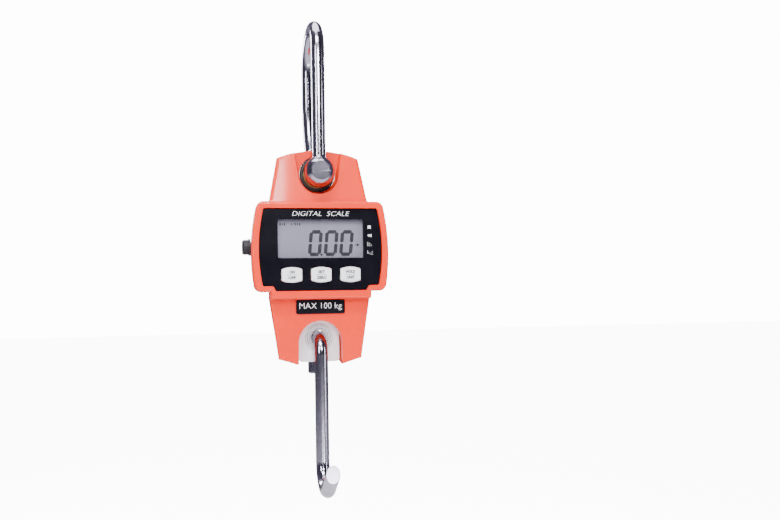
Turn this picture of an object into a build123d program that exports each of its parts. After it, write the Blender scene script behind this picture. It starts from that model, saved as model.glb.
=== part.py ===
import os

from build123d import *

os.makedirs("parts", exist_ok=True)

# ---------------------------------------------------------------- dimensions
# Millimetres. X is the viewer's right, the display faces -Y, Z is up.
# The origin is the inner top of the upper hook's bowl, where the scale hangs.

ROD_R = 4.0
PIN_UP_Z = -86.0
PIN_LO_Z = -183.0

HOOK_Y = -20.0
PEAK_Z = ROD_R
BACK_R = 23.0
BACK_RUN = 11.0
TIP_BEND_R = 76.0
TIP_BEND_DEG = 31.7
BALL_R = 9.0
FACET_R = 5.5
NECK_R = 2.2
PIN_END_Y = 6.6

LOW_Y = -18.0
STUB_Y = 10.5
STUB_Z = -206.5
ELBOW_R = 9.0
SEAT_R = 13.0
SEAT_Z = -267.5
SEAT_TURN = 129.0
TIP_RUN = 24.0
TIP_CUT_Y = -53.5

WALL = 2.2
FRONT_Y = -18.0
BEZEL_Y = -24.0
PART_Y = -2.0
REAR_Y = 16.0
GASKET_T = 0.8
FRONT_DRAFT = 1.2
DRAFT_Y = -12.0
REAR_DRAFT = 0.6

TOP_Z = -72.0
TOP_CORNER = (24.3, -77.0)
SHOULDER = (29.4, -104.0)
BEZEL_TOP = -103.3
BEZEL_BOTTOM = -155.5
BEZEL_TOP_X = 36.4
BEZEL_MID = (40.0, -130.5)
BEZEL_LOW_X = 38.0
NECK = (29.5, -159.8)
LOW_CORNER = (24.5, -194.8)
LEG_Z = -198.4
ARCH_R = 12.9
ARCH_Z = -185.4

OVERLAY_Y = -22.5
OVERLAY_T = 0.5
FLOOR_T = 1.6
WINDOW_Z = -124.8
WINDOW_W = 49.9
WINDOW_H = 22.4
KEY_Z = -145.7
KEY_PITCH = 17.1
KEY_W = 11.8
KEY_H = 8.9
KEY_GAP = 0.3

CELL_Y0 = -10.0
CELL_Y1 = 2.0
CELL_X = 12.2
CELL_TOP = -75.5
CELL_BOTTOM = -197.2

BOARD_Y0 = -15.6
BOARD_Y1 = -14.0
BOARD_X = 29.0
BOARD_TOP = -106.6
BOARD_BOTTOM = -152.5

BUTTON_Y = -11.0
BUTTON_Z = -129.0

AA_R = 5.2
AA_L = 44.0
AA_Y = 8.6
AA_Z = (-118.6, -130.0, -141.4)
TRAY_X = 25.6
TRAY_TOP = -112.0
TRAY_BOTTOM = -148.0
DOOR_Y = 14.6
HINGE_Z = -150.6

SCREWS = ((19.6, -99.0), (32.4, -149.0), (21.0, -172.0))
POST_L = {-99.0: 12.8, -149.0: 18.6, -172.0: 12.8}
BOARD_POSTS = ((-27.0, -109.0), (27.0, -109.0), (-27.0, -149.5), (27.0, -149.5))
CELL_SCREWS = ((-7.4, -104.8), (7.4, -104.8))


def at_y(y):
    return Plane.XZ.offset(-y)


def save(piece, name):
    piece.label = name
    export_step(piece, f"parts/{name}.step")


def both_sides(points):
    return [(sx * x, z) for x, z in points for sx in (-1, 1)]


# ---------------------------------------------------------------- outlines

def upper_outline(inset=0.0):
    corner = (TOP_CORNER[0] - inset * 1.05, TOP_CORNER[1] - inset)
    shoulder = (SHOULDER[0] - inset * 1.02, SHOULDER[1])
    foot = SHOULDER[1] - 6
    with BuildSketch(mode=Mode.PRIVATE) as face:
        with BuildLine():
            ThreePointArc((-corner[0], corner[1]), (0, TOP_Z - inset), corner)
            Polyline(corner, shoulder, (shoulder[0], foot), (-shoulder[0], foot), (-shoulder[0], shoulder[1]))
            Line((-shoulder[0], shoulder[1]), (-corner[0], corner[1]))
        make_face()
    return face.sketch


def wide_outline(inset=0.0, corner=4.5):
    top = BEZEL_TOP - inset
    low = BEZEL_BOTTOM + inset
    top_x = BEZEL_TOP_X - inset
    mid_x = BEZEL_MID[0] - inset
    low_x = BEZEL_LOW_X - inset
    with BuildSketch(mode=Mode.PRIVATE) as face:
        with BuildLine():
            Line((-top_x, top), (top_x, top))
            ThreePointArc((top_x, top), (mid_x, BEZEL_MID[1]), (low_x, low))
            Line((low_x, low), (-low_x, low))
            ThreePointArc((-low_x, low), (-mid_x, BEZEL_MID[1]), (-top_x, top))
        make_face()
        fillet(face.vertices(), corner)
    return face.sketch


def neck_outline(inset=0.0):
    half = NECK[0] - inset
    with BuildSketch(mode=Mode.PRIVATE) as face:
        with BuildLine():
            Polyline(
                (-half, BEZEL_BOTTOM + 8),
                (half, BEZEL_BOTTOM + 8),
                (half, NECK[1] + inset),
                (-half, NECK[1] + inset),
                close=True,
            )
        make_face()
        fillet(face.vertices().group_by(Axis.Y)[0], 1.2)
    return face.sketch


def lower_outline(inset=0.0):
    neck = (NECK[0] - inset, NECK[1])
    corner = (LOW_CORNER[0] - inset * 1.1, LOW_CORNER[1] + inset * 0.9)
    leg = (ARCH_R, LEG_Z + inset)
    top = BEZEL_BOTTOM + 8
    with BuildSketch(mode=Mode.PRIVATE) as face:
        with BuildLine():
            Polyline((-neck[0], top), (neck[0], top), neck, corner, leg)
            Polyline(leg, (-leg[0], leg[1]), (-corner[0], corner[1]), (-neck[0], neck[1]), (-neck[0], top))
        make_face()
    return face.sketch


def body_outline(inset=0.0):
    with BuildSketch(mode=Mode.PRIVATE) as face:
        add(upper_outline(inset))
        add(wide_outline(inset, 4.5 - inset / 2))
        add(lower_outline(inset))
    return face.sketch


def arch_outline(grow=0.0):
    half = ARCH_R + grow
    with BuildSketch(mode=Mode.PRIVATE) as face:
        with BuildLine():
            ThreePointArc((-half, ARCH_Z), (0, ARCH_Z + half), (half, ARCH_Z))
            Line((half, ARCH_Z), (half, LEG_Z - 3))
            Line((half, LEG_Z - 3), (-half, LEG_Z - 3))
            Line((-half, LEG_Z - 3), (-half, ARCH_Z))
        make_face()
    return face.sketch


def recess_outline(grow=0.0):
    foot = 11.6 + grow
    top = 14.6 + grow
    with BuildSketch(mode=Mode.PRIVATE) as face:
        with Locations((0, PIN_UP_Z)):
            Circle(foot)
        with BuildLine():
            Polyline(
                (-foot, PIN_UP_Z),
                (foot, PIN_UP_Z),
                (top, TOP_Z + 3),
                (-top, TOP_Z + 3),
                close=True,
            )
        make_face()
    return face.sketch


def overlay_outline(grow=0.0):
    with BuildSketch(mode=Mode.PRIVATE) as face:
        with BuildLine():
            Line((-33.0, -107.5), (33.0, -107.5))
            ThreePointArc((33.0, -107.5), (35.8, -130.0), (33.8, -151.9))
            Line((33.8, -151.9), (27.8, -151.9))
            Line((27.8, -151.9), (26.4, -154.8))
            Line((26.4, -154.8), (-26.4, -154.8))
            Line((-26.4, -154.8), (-27.8, -151.9))
            Line((-27.8, -151.9), (-33.8, -151.9))
            ThreePointArc((-33.8, -151.9), (-35.8, -130.0), (-33.0, -107.5))
        make_face()
        fillet(face.vertices(), 1.2)
        if grow > 0:
            offset(amount=grow)
    return face.sketch


def key_outline(grow=0.0):
    half_w = KEY_W / 2
    half_h = KEY_H / 2
    side = half_h - 1.15
    with BuildSketch(mode=Mode.PRIVATE) as face:
        with BuildLine():
            ThreePointArc((-half_w, side), (0, half_h), (half_w, side))
            Line((half_w, side), (half_w, -side))
            ThreePointArc((half_w, -side), (0, -half_h), (-half_w, -side))
            Line((-half_w, -side), (-half_w, side))
        make_face()
        fillet(face.vertices(), 0.8)
        if grow > 0:
            offset(amount=grow)
    return face.sketch


def wedge(*points):
    with BuildPart(mode=Mode.PRIVATE) as block:
        with BuildSketch(Plane.YZ):
            with BuildLine():
                Polyline(*points, close=True)
            make_face()
        extrude(amount=60, both=True)
    return block.part


def cell_space():
    with BuildPart(mode=Mode.PRIVATE) as block:
        with Locations((0, (CELL_Y0 + CELL_Y1) / 2, -136)):
            Box(2 * CELL_X + 1.2, CELL_Y1 - CELL_Y0 + 1.2, 125)
    return block.part


def drafted_block(outline, y_front, y_back, inset_front, inset_back):
    with BuildPart(mode=Mode.PRIVATE) as block:
        with BuildSketch(at_y(y_front)):
            add(outline(inset_front))
        with BuildSketch(at_y(y_back)):
            add(outline(inset_back))
        loft(ruled=True)
    return block.part


# ---------------------------------------------------------------- front shell

with BuildPart() as front_shell:
    shell_back = PART_Y - GASKET_T / 2
    with BuildSketch(at_y(FRONT_Y)):
        add(body_outline())
    extrude(amount=-(DRAFT_Y - FRONT_Y))
    top_slope = ((FRONT_Y - 1, BEZEL_TOP), (FRONT_Y, BEZEL_TOP), (FRONT_Y + 3, TOP_Z + 1), (FRONT_Y - 1, TOP_Z + 1))
    low_slope = ((FRONT_Y - 1, NECK[1]), (FRONT_Y, NECK[1]), (FRONT_Y + 2, LEG_Z - 1), (FRONT_Y - 1, LEG_Z - 1))
    add(wedge(*top_slope), mode=Mode.SUBTRACT)
    add(wedge(*low_slope), mode=Mode.SUBTRACT)
    front_rim = front_shell.edges().filter_by_position(Axis.Y, FRONT_Y + 0.01, FRONT_Y + 3.4)
    fillet([e for e in front_rim if e.center().Z > BEZEL_TOP - 2], 2.2)
    low_rim = front_shell.edges().filter_by_position(Axis.Y, FRONT_Y + 0.01, FRONT_Y + 3.4)
    fillet([e for e in low_rim if e.center().Z < NECK[1] and abs(e.center().X) > ARCH_R], 0.8)
    with BuildSketch(at_y(BEZEL_Y)) as bezel_face:
        add(wide_outline())
        add(neck_outline())
        inner = [v for v in bezel_face.vertices() if abs(abs(v.X) - NECK[0]) < 0.1 and abs(v.Z - BEZEL_BOTTOM) < 0.1]
        fillet(inner, 2.4)
    extrude(amount=-(FRONT_Y - BEZEL_Y + 3))
    fillet(front_shell.faces().sort_by(Axis.Y)[0].outer_wire().edges(), 1.6)
    add(drafted_block(body_outline, DRAFT_Y, shell_back, 0.0, FRONT_DRAFT))

    # hollow inside
    hollow_y = FRONT_Y + WALL + 1.2
    floor_y = OVERLAY_Y + OVERLAY_T + FLOOR_T
    with BuildSketch(at_y(hollow_y)):
        add(body_outline(WALL + 0.8))
    extrude(amount=-20, mode=Mode.SUBTRACT)
    with BuildSketch(at_y(floor_y)):
        add(wide_outline(WALL + 0.8, 3.0))
    extrude(amount=-30, mode=Mode.SUBTRACT)

    # floor under the hook, and the arch wall
    with BuildSketch(at_y(FRONT_Y + 3.4)):
        add(recess_outline(1.8))
        add(body_outline(FRONT_DRAFT), mode=Mode.INTERSECT)
    extrude(amount=-(CELL_Y0 - 0.5 - FRONT_Y - 3.4))
    with BuildSketch(at_y(FRONT_Y + 3.0)):
        add(arch_outline(WALL))
        add(body_outline(FRONT_DRAFT), mode=Mode.INTERSECT)
    extrude(amount=-(shell_back - FRONT_Y - 3.0))

    # posts
    for px, pz in both_sides(SCREWS):
        with BuildSketch(at_y(shell_back)):
            with Locations((px, pz)):
                Circle(3.0)
        extrude(amount=POST_L[pz])
        with BuildSketch(at_y(shell_back)):
            with Locations((px, pz)):
                Circle(1.25)
        extrude(amount=10.5, mode=Mode.SUBTRACT)
    for px, pz in BOARD_POSTS:
        with BuildSketch(at_y(BOARD_Y0)):
            with Locations((px, pz)):
                Circle(1.8)
        extrude(amount=5.2)
        with BuildSketch(at_y(BOARD_Y0)):
            with Locations((px, pz)):
                Circle(0.75)
        extrude(amount=4.0, mode=Mode.SUBTRACT)

    # cuts from the front
    with BuildSketch(at_y(FRONT_Y + 6.0)):
        add(recess_outline(-0.6))
    extrude(amount=8.0, taper=-14, mode=Mode.SUBTRACT)
    with BuildSketch(at_y(FRONT_Y - 8)):
        with Locations((0, PIN_UP_Z)):
            Circle(10.75)
    extrude(amount=-20, mode=Mode.SUBTRACT)
    with BuildSketch(at_y(FRONT_Y - 8)):
        add(arch_outline())
    extrude(amount=-40, mode=Mode.SUBTRACT)
    add(cell_space(), mode=Mode.SUBTRACT)
    with BuildSketch(at_y(BEZEL_Y - 2)):
        add(overlay_outline(0.15))
    extrude(amount=-(OVERLAY_Y + OVERLAY_T - BEZEL_Y + 2), mode=Mode.SUBTRACT)
    with BuildSketch(at_y(BEZEL_Y)):
        with Locations((0, WINDOW_Z)):
            RectangleRounded(WINDOW_W + 2.4, WINDOW_H + 2.4, 1.2)
    extrude(amount=-6, mode=Mode.SUBTRACT)
    for step in (-1, 0, 1):
        with BuildSketch(at_y(BEZEL_Y)):
            with Locations((step * KEY_PITCH, KEY_Z)):
                add(key_outline(KEY_GAP))
        extrude(amount=-6, mode=Mode.SUBTRACT)
    with BuildSketch(Plane.YZ.offset(-42)):
        with Locations((BUTTON_Y, BUTTON_Z)):
            Circle(3.1)
    extrude(amount=8, mode=Mode.SUBTRACT)
save(front_shell.part, "front_shell")

# ---------------------------------------------------------------- rear shell

def rear_block(inset=0.0):
    back = REAR_Y - inset
    front = PART_Y + GASKET_T / 2 - inset
    top = ((back + 3, -94), (back, -94), (back - 10, TOP_Z + 1), (back + 3, TOP_Z + 1))
    low = ((back + 3, -172), (back, -172), (back - 3, LEG_Z - 1), (back + 3, LEG_Z - 1))
    with BuildPart(mode=Mode.PRIVATE) as block:
        with BuildSketch(at_y(front)):
            add(body_outline(inset + FRONT_DRAFT))
        with BuildSketch(at_y(back)):
            add(body_outline(inset + FRONT_DRAFT + REAR_DRAFT))
        loft(ruled=True)
        add(wedge(*top), mode=Mode.SUBTRACT)
        add(wedge(*low), mode=Mode.SUBTRACT)
    return block.part


with BuildPart() as rear_shell:
    shell_front = PART_Y + GASKET_T / 2
    add(rear_block())
    back_rim = rear_shell.faces().filter_by(Axis.Y).sort_by(Axis.Y)[-1].outer_wire().edges()
    chamfer([e for e in back_rim if abs(e.center().X) > 33], 1.6)
    add(rear_block(WALL), mode=Mode.SUBTRACT)

    # battery tray: a box standing in from the back wall
    tray_x = 2 * TRAY_X + 2.8
    tray_z = TRAY_TOP - HINGE_Z + 3.4
    tray_mid = (TRAY_TOP + HINGE_Z) / 2
    with BuildSketch(at_y(CELL_Y1 + 0.6)):
        with Locations((0, tray_mid)):
            Rectangle(tray_x, tray_z)
    extrude(amount=-(REAR_Y - WALL - CELL_Y1 - 0.6))

    # arch wall and posts
    with BuildSketch(at_y(shell_front)):
        add(arch_outline(WALL))
        add(body_outline(FRONT_DRAFT + 0.6), mode=Mode.INTERSECT)
    extrude(amount=-(REAR_Y - 4.2 - shell_front))
    for px, pz in both_sides(SCREWS):
        with BuildSketch(at_y(shell_front)):
            with Locations((px, pz)):
                Circle(3.6)
        extrude(amount=-(REAR_Y - 1.0 - shell_front))
    for px, pz in CELL_SCREWS:
        with BuildSketch(at_y(CELL_Y1)):
            with Locations((px, pz)):
                Circle(3.4)
        extrude(amount=-(REAR_Y - 1.0 - CELL_Y1))
        with BuildSketch(at_y(CELL_Y1)):
            with Locations((px, pz)):
                Circle(1.75)
        extrude(amount=-9.0, mode=Mode.SUBTRACT)

    # cuts
    for px, pz in both_sides(SCREWS):
        with BuildSketch(at_y(shell_front - 1)):
            with Locations((px, pz)):
                Circle(1.7)
        extrude(amount=-20, mode=Mode.SUBTRACT)
        with BuildSketch(at_y(REAR_Y - 5.0)):
            with Locations((px, pz)):
                Circle(3.0)
        extrude(amount=-8, mode=Mode.SUBTRACT)
    with BuildSketch(at_y(REAR_Y + 1)):
        add(arch_outline())
    extrude(amount=30, mode=Mode.SUBTRACT)
    add(cell_space(), mode=Mode.SUBTRACT)
    with BuildSketch(at_y(DOOR_Y - 0.2)):
        with Locations((0, (TRAY_TOP + TRAY_BOTTOM) / 2)):
            Rectangle(2 * TRAY_X, TRAY_TOP - TRAY_BOTTOM)
    extrude(amount=DOOR_Y - 0.2 - 3.6, mode=Mode.SUBTRACT)
    with BuildSketch(at_y(DOOR_Y - 0.3)):
        with Locations((0, (TRAY_TOP + HINGE_Z) / 2 + 0.3)):
            Rectangle(2 * TRAY_X + 1.0, TRAY_TOP - HINGE_Z + 2.6)
    extrude(amount=-4, mode=Mode.SUBTRACT)
    with BuildSketch(Plane.YZ):
        with Locations((DOOR_Y + 0.7, HINGE_Z)):
            Circle(0.66)
    extrude(amount=TRAY_X + 1.2, both=True, mode=Mode.SUBTRACT)
save(rear_shell.part, "rear_shell")

with BuildPart() as shell_gasket:
    with BuildSketch(at_y(PART_Y + GASKET_T / 2)):
        add(body_outline(FRONT_DRAFT + 0.4))
        add(body_outline(FRONT_DRAFT + 1.05), mode=Mode.SUBTRACT)
        add(arch_outline(0.5), mode=Mode.SUBTRACT)
    extrude(amount=GASKET_T)
save(shell_gasket.part, "shell_gasket")

with BuildPart() as housing_screws:
    for px, pz in both_sides(SCREWS):
        with BuildSketch(at_y(REAR_Y - 5.0)):
            with Locations((px, pz)):
                Circle(2.6)
        extrude(amount=-1.8)
        with BuildSketch(at_y(REAR_Y - 5.0)):
            with Locations((px, pz)):
                Circle(1.25)
        extrude(amount=22.0)
        with BuildSketch(at_y(REAR_Y - 3.2)):
            with Locations((px, pz)):
                Rectangle(2.6, 0.6)
                Rectangle(0.6, 2.6)
        extrude(amount=1.2, mode=Mode.SUBTRACT)
save(housing_screws.part, "housing_screws")

# ---------------------------------------------------------------- load cell

with BuildPart() as load_cell:
    with BuildSketch(at_y(CELL_Y1)):
        with Locations((0, (CELL_TOP + CELL_BOTTOM) / 2)):
            RectangleRounded(2 * CELL_X, CELL_TOP - CELL_BOTTOM, 2.0)
    extrude(amount=CELL_Y1 - CELL_Y0)
    with BuildSketch(at_y(CELL_Y1)):
        with Locations((0, PIN_UP_Z)):
            Circle(6.0)
        with Locations((0, PIN_LO_Z)):
            Circle(4.3)
        with Locations((0, -126.0), (0, -143.0)):
            Circle(9.3)
        with Locations((0, -134.5)):
            Rectangle(3.0, 17.0)
        with Locations((-3.0, -112.0), (3.0, -157.0)):
            Rectangle(2 * CELL_X - 4.0, 1.6)
    extrude(amount=CELL_Y1 - CELL_Y0, mode=Mode.SUBTRACT)
    for ring_r, ring_d in ((7.4, 0.9), (5.8, 1.8)):
        for face_y, side in ((CELL_Y0, -1), (CELL_Y1, 1)):
            with BuildSketch(at_y(face_y)):
                with Locations((0, PIN_LO_Z)):
                    Circle(ring_r)
            extrude(amount=side * ring_d, mode=Mode.SUBTRACT)
    for px, pz in CELL_SCREWS:
        with BuildSketch(at_y(CELL_Y1)):
            with Locations((px, pz)):
                Circle(2.1)
        extrude(amount=CELL_Y1 - CELL_Y0, mode=Mode.SUBTRACT)
save(load_cell.part, "load_cell")

with BuildPart() as upper_pin_bush:
    with BuildSketch(at_y(CELL_Y1)):
        with Locations((0, PIN_UP_Z)):
            Circle(6.0)
    extrude(amount=CELL_Y1 - CELL_Y0)
    with BuildSketch(at_y(CELL_Y0)):
        with Locations((0, PIN_UP_Z)):
            Circle(8.2)
    extrude(amount=0.7)
    with BuildSketch(at_y(CELL_Y1 + 1)):
        with Locations((0, PIN_UP_Z)):
            Circle(ROD_R + 0.06)
    extrude(amount=20, mode=Mode.SUBTRACT)
save(upper_pin_bush.part, "upper_pin_bush")

with BuildPart() as load_cell_screws:
    for px, pz in CELL_SCREWS:
        with BuildSketch(at_y(CELL_Y0)):
            with Locations((px, pz)):
                Circle(3.2)
        extrude(amount=1.9)
        with BuildSketch(at_y(CELL_Y0)):
            with Locations((px, pz)):
                Circle(1.75)
        extrude(amount=-19.0)
        with BuildSketch(at_y(CELL_Y0 - 1.9)):
            with Locations((px, pz)):
                RegularPolygon(1.4, 6)
        extrude(amount=-1.2, mode=Mode.SUBTRACT)
save(load_cell_screws.part, "load_cell_screws")

with BuildPart() as strain_gauges:
    for gz in (-126.0, -143.0):
        for side in (-1, 1):
            with Locations((side * (CELL_X + 0.1), (CELL_Y0 + CELL_Y1) / 2, gz)):
                Box(0.2, 4.0, 6.0)
save(strain_gauges.part, "strain_gauges")

with BuildPart() as gauge_sealant:
    for gz in (-126.0, -143.0):
        for side in (-1, 1):
            with Locations((side * (CELL_X + 0.7), (CELL_Y0 + CELL_Y1) / 2, gz)):
                Box(1.4, 7.6, 10.0)
    fillet(gauge_sealant.edges(), 0.5)
    for gz in (-126.0, -143.0):
        for side in (-1, 1):
            with Locations((side * (CELL_X + 0.1), (CELL_Y0 + CELL_Y1) / 2, gz)):
                Box(0.2, 4.0, 6.0, mode=Mode.SUBTRACT)
save(gauge_sealant.part, "gauge_sealant")

# ---------------------------------------------------------------- hooks

with BuildPart() as upper_hook:
    with BuildLine(Plane.YZ) as upper_path:
        shank = Line((HOOK_Y, PIN_UP_Z), (HOOK_Y, PEAK_Z + HOOK_Y))
        rise = JernArc(shank @ 1, (0, 1), -HOOK_Y, -90)
        over = JernArc(rise @ 1, (1, 0), BACK_R, -90)
        leg = Line(over @ 1, (BACK_R, PEAK_Z - BACK_R - BACK_RUN))
        JernArc(leg @ 1, (0, -1), TIP_BEND_R, -TIP_BEND_DEG)
    with BuildSketch(Plane.XY.offset(PIN_UP_Z)):
        with Locations((0, HOOK_Y)):
            Circle(ROD_R)
    sweep(path=upper_path.wires()[0])
    tip_rim = upper_hook.faces().filter_by(GeomType.PLANE).sort_by(Axis.Y)[-1].edges()
    fillet(tip_rim, 1.2)
    with Locations((0, HOOK_Y, PIN_UP_Z)):
        Sphere(BALL_R)
    neck = [e for e in upper_hook.edges().filter_by(GeomType.CIRCLE) if abs(e.center().Z - PIN_UP_Z - 8.06) < 0.5]
    fillet(neck, NECK_R)
    with BuildSketch(at_y(PIN_END_Y)):
        with Locations((0, PIN_UP_Z)):
            Circle(ROD_R)
    extrude(amount=PIN_END_Y - HOOK_Y)
    facet_y = HOOK_Y - (BALL_R**2 - FACET_R**2) ** 0.5
    with BuildSketch(at_y(facet_y)):
        with Locations((0, PIN_UP_Z)):
            Circle(BALL_R)
    extrude(amount=6, mode=Mode.SUBTRACT)
    with BuildSketch(at_y(CELL_Y1 + 3.2)):
        with Locations((0, PIN_UP_Z)):
            Circle(ROD_R + 1)
            Circle(ROD_R - 0.7, mode=Mode.SUBTRACT)
    extrude(amount=1.2, mode=Mode.SUBTRACT)
save(upper_hook.part, "upper_hook")

with BuildPart() as pin_washer:
    with BuildSketch(at_y(CELL_Y1 + 1.7)):
        with Locations((0, PIN_UP_Z)):
            Circle(8.0)
            Circle(ROD_R + 0.05, mode=Mode.SUBTRACT)
    extrude(amount=1.4)
save(pin_washer.part, "pin_washer")

with BuildPart() as retaining_ring:
    with BuildSketch(at_y(CELL_Y1 + 3.1)):
        with Locations((0, PIN_UP_Z)):
            Circle(6.0)
            Circle(ROD_R - 0.65, mode=Mode.SUBTRACT)
        with Locations((0, PIN_UP_Z - 5)):
            Rectangle(3.4, 8, mode=Mode.SUBTRACT)
    extrude(amount=1.0)
save(retaining_ring.part, "retaining_ring")

with BuildPart() as lower_hook:
    with BuildLine(Plane.YZ) as lower_path:
        stub = Line((STUB_Y, STUB_Z), (STUB_Y, PIN_LO_Z - ELBOW_R))
        rear_elbow = JernArc(stub @ 1, (0, 1), ELBOW_R, 90)
        through = Line(rear_elbow @ 1, (LOW_Y + ELBOW_R, PIN_LO_Z))
        front_elbow = JernArc(through @ 1, (-1, 0), ELBOW_R, 90)
        drop = Line(front_elbow @ 1, (LOW_Y, SEAT_Z + SEAT_R))
        seat = JernArc(drop @ 1, (0, -1), SEAT_R, -SEAT_TURN)
        Line(seat @ 1, seat @ 1 + (seat % 1) * TIP_RUN)
    with BuildSketch(Plane.XY.offset(STUB_Z)):
        with Locations((0, STUB_Y)):
            Circle(ROD_R)
    sweep(path=lower_path.wires()[0])
    split(bisect_by=at_y(TIP_CUT_Y), keep=Keep.BOTTOM)
    cut_rim = lower_hook.faces().sort_by(Axis.Y)[0].edges()
    chamfer(cut_rim, 0.35)
    stub_rim = lower_hook.faces().filter_by(Axis.Z).edges()
    chamfer(stub_rim, 0.7)
save(lower_hook.part, "lower_hook")

# ---------------------------------------------------------------- display

with BuildPart() as display_overlay:
    with BuildSketch(at_y(OVERLAY_Y + OVERLAY_T)):
        add(overlay_outline())
        with Locations((0, WINDOW_Z)):
            RectangleRounded(WINDOW_W, WINDOW_H, 0.8, mode=Mode.SUBTRACT)
        for step in (-1, 0, 1):
            with Locations((step * KEY_PITCH, KEY_Z)):
                add(key_outline(KEY_GAP), mode=Mode.SUBTRACT)
    extrude(amount=OVERLAY_T)
save(display_overlay.part, "display_overlay")

FLOOR_Y = OVERLAY_Y + OVERLAY_T + FLOOR_T

with BuildPart() as lcd_window:
    with BuildSketch(at_y(FLOOR_Y - 0.1)):
        with Locations((0, WINDOW_Z)):
            RectangleRounded(WINDOW_W + 2.0, WINDOW_H + 2.0, 1.0)
    extrude(amount=FLOOR_T - 0.12)
save(lcd_window.part, "lcd_window")

with BuildPart() as lcd_panel:
    with BuildSketch(at_y(FLOOR_Y + 2.3)):
        with Locations((0, WINDOW_Z)):
            Rectangle(54.0, 27.6)
    extrude(amount=2.2)
save(lcd_panel.part, "lcd_panel")

with BuildPart() as lcd_backlight:
    with BuildSketch(at_y(BOARD_Y0 - 0.1)):
        with Locations((0, WINDOW_Z)):
            Rectangle(52.0, 22.0)
    extrude(amount=BOARD_Y0 - 0.1 - FLOOR_Y - 2.4)
save(lcd_backlight.part, "lcd_backlight")

with BuildPart() as lcd_zebra_strips:
    for side in (-1, 1):
        with BuildSketch(at_y(BOARD_Y0)):
            with Locations((0, WINDOW_Z + side * 12.8)):
                Rectangle(48.0, 2.2)
        extrude(amount=BOARD_Y0 - FLOOR_Y - 2.3)
save(lcd_zebra_strips.part, "lcd_zebra_strips")

with BuildPart() as main_board:
    with BuildSketch(at_y(BOARD_Y1)):
        with Locations((0, (BOARD_TOP + BOARD_BOTTOM) / 2)):
            RectangleRounded(2 * BOARD_X, BOARD_TOP - BOARD_BOTTOM, 1.5)
        with Locations(*BOARD_POSTS):
            Circle(1.0, mode=Mode.SUBTRACT)
    extrude(amount=BOARD_Y1 - BOARD_Y0)
save(main_board.part, "main_board")

with BuildPart() as board_screws:
    with BuildSketch(at_y(BOARD_Y1)):
        with Locations(*BOARD_POSTS):
            Circle(1.7)
    extrude(amount=-1.1)
    with BuildSketch(at_y(BOARD_Y1)):
        with Locations(*BOARD_POSTS):
            Circle(0.75)
    extrude(amount=5.4)
save(board_screws.part, "board_screws")

CHIPS = (
    (-8.0, -124.0, 12.0, 12.0, 1.4),
    (10.0, -121.0, 6.0, 4.0, 1.1),
    (-21.0, -118.0, 4.0, 5.0, 2.6),
    (20.0, -136.0, 9.0, 5.0, 3.0),
    (-20.0, -140.0, 6.0, 8.0, 3.0),
    (9.0, -144.0, 4.0, 2.0, 0.9),
    (-7.0, -113.0, 3.0, 2.0, 0.9),
    (4.0, -134.0, 2.0, 3.0, 0.9),
)

with BuildPart() as board_components:
    for cx, cz, cw, ch, ct in CHIPS:
        with BuildSketch(at_y(BOARD_Y1)):
            with Locations((cx, cz)):
                Rectangle(cw, ch)
        extrude(amount=-ct)
save(board_components.part, "board_components")

with BuildPart() as radio_board:
    with BuildSketch(at_y(BOARD_Y1)):
        with Locations((20.0, -120.0)):
            Rectangle(12.0, 15.0)
    extrude(amount=-0.8)
    with BuildSketch(at_y(BOARD_Y1 + 0.8)):
        with Locations((20.0, -121.6)):
            Rectangle(9.6, 9.6)
    extrude(amount=-1.4)
save(radio_board.part, "radio_board")

SWITCH_TOP = FLOOR_Y + 2.9

with BuildPart() as tact_switches:
    for step in (-1, 0, 1):
        with BuildSketch(at_y(BOARD_Y0)):
            with Locations((step * KEY_PITCH, KEY_Z)):
                Rectangle(6.0, 6.0)
        extrude(amount=1.4)
        with BuildSketch(at_y(BOARD_Y0)):
            with Locations((step * KEY_PITCH, KEY_Z)):
                Circle(1.7)
        extrude(amount=BOARD_Y0 - SWITCH_TOP)
save(tact_switches.part, "tact_switches")


def make_key(step):
    with BuildPart() as key:
        with BuildSketch(at_y(FLOOR_Y + 0.1)):
            with Locations((step * KEY_PITCH, KEY_Z)):
                add(key_outline())
        extrude(amount=FLOOR_Y + 0.1 - OVERLAY_Y + 1.1)
        fillet(key.faces().sort_by(Axis.Y)[0].outer_wire().edges(), 0.7)
        with BuildSketch(at_y(FLOOR_Y + 1.0)):
            with Locations((step * KEY_PITCH, KEY_Z)):
                add(key_outline(1.2))
        extrude(amount=0.9)
        with BuildSketch(at_y(FLOOR_Y + 2.2)):
            with Locations((step * KEY_PITCH, KEY_Z)):
                Circle(2.4)
        extrude(amount=1.2)
    return key.part


on_off_key = make_key(-1)
save(on_off_key, "on_off_key")
zero_key = make_key(0)
save(zero_key, "zero_key")
hold_key = make_key(1)
save(hold_key, "hold_key")

with BuildPart() as capacity_plate:
    plate_slope = 2 / (NECK[1] - LEG_Z + 1)
    plate_y = FRONT_Y - 0.03 + (NECK[1] + 164.3) * plate_slope
    plate_tilt = Plane(origin=(0, plate_y, -164.3), x_dir=(1, 0, 0), z_dir=(0, -1, -plate_slope))
    with BuildSketch(plate_tilt):
        RectangleRounded(28.8, 8.2, 1.0)
    extrude(amount=0.5)
save(capacity_plate.part, "capacity_plate")

# ---------------------------------------------------------------- side button

SIDE_X = -40.05

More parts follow.
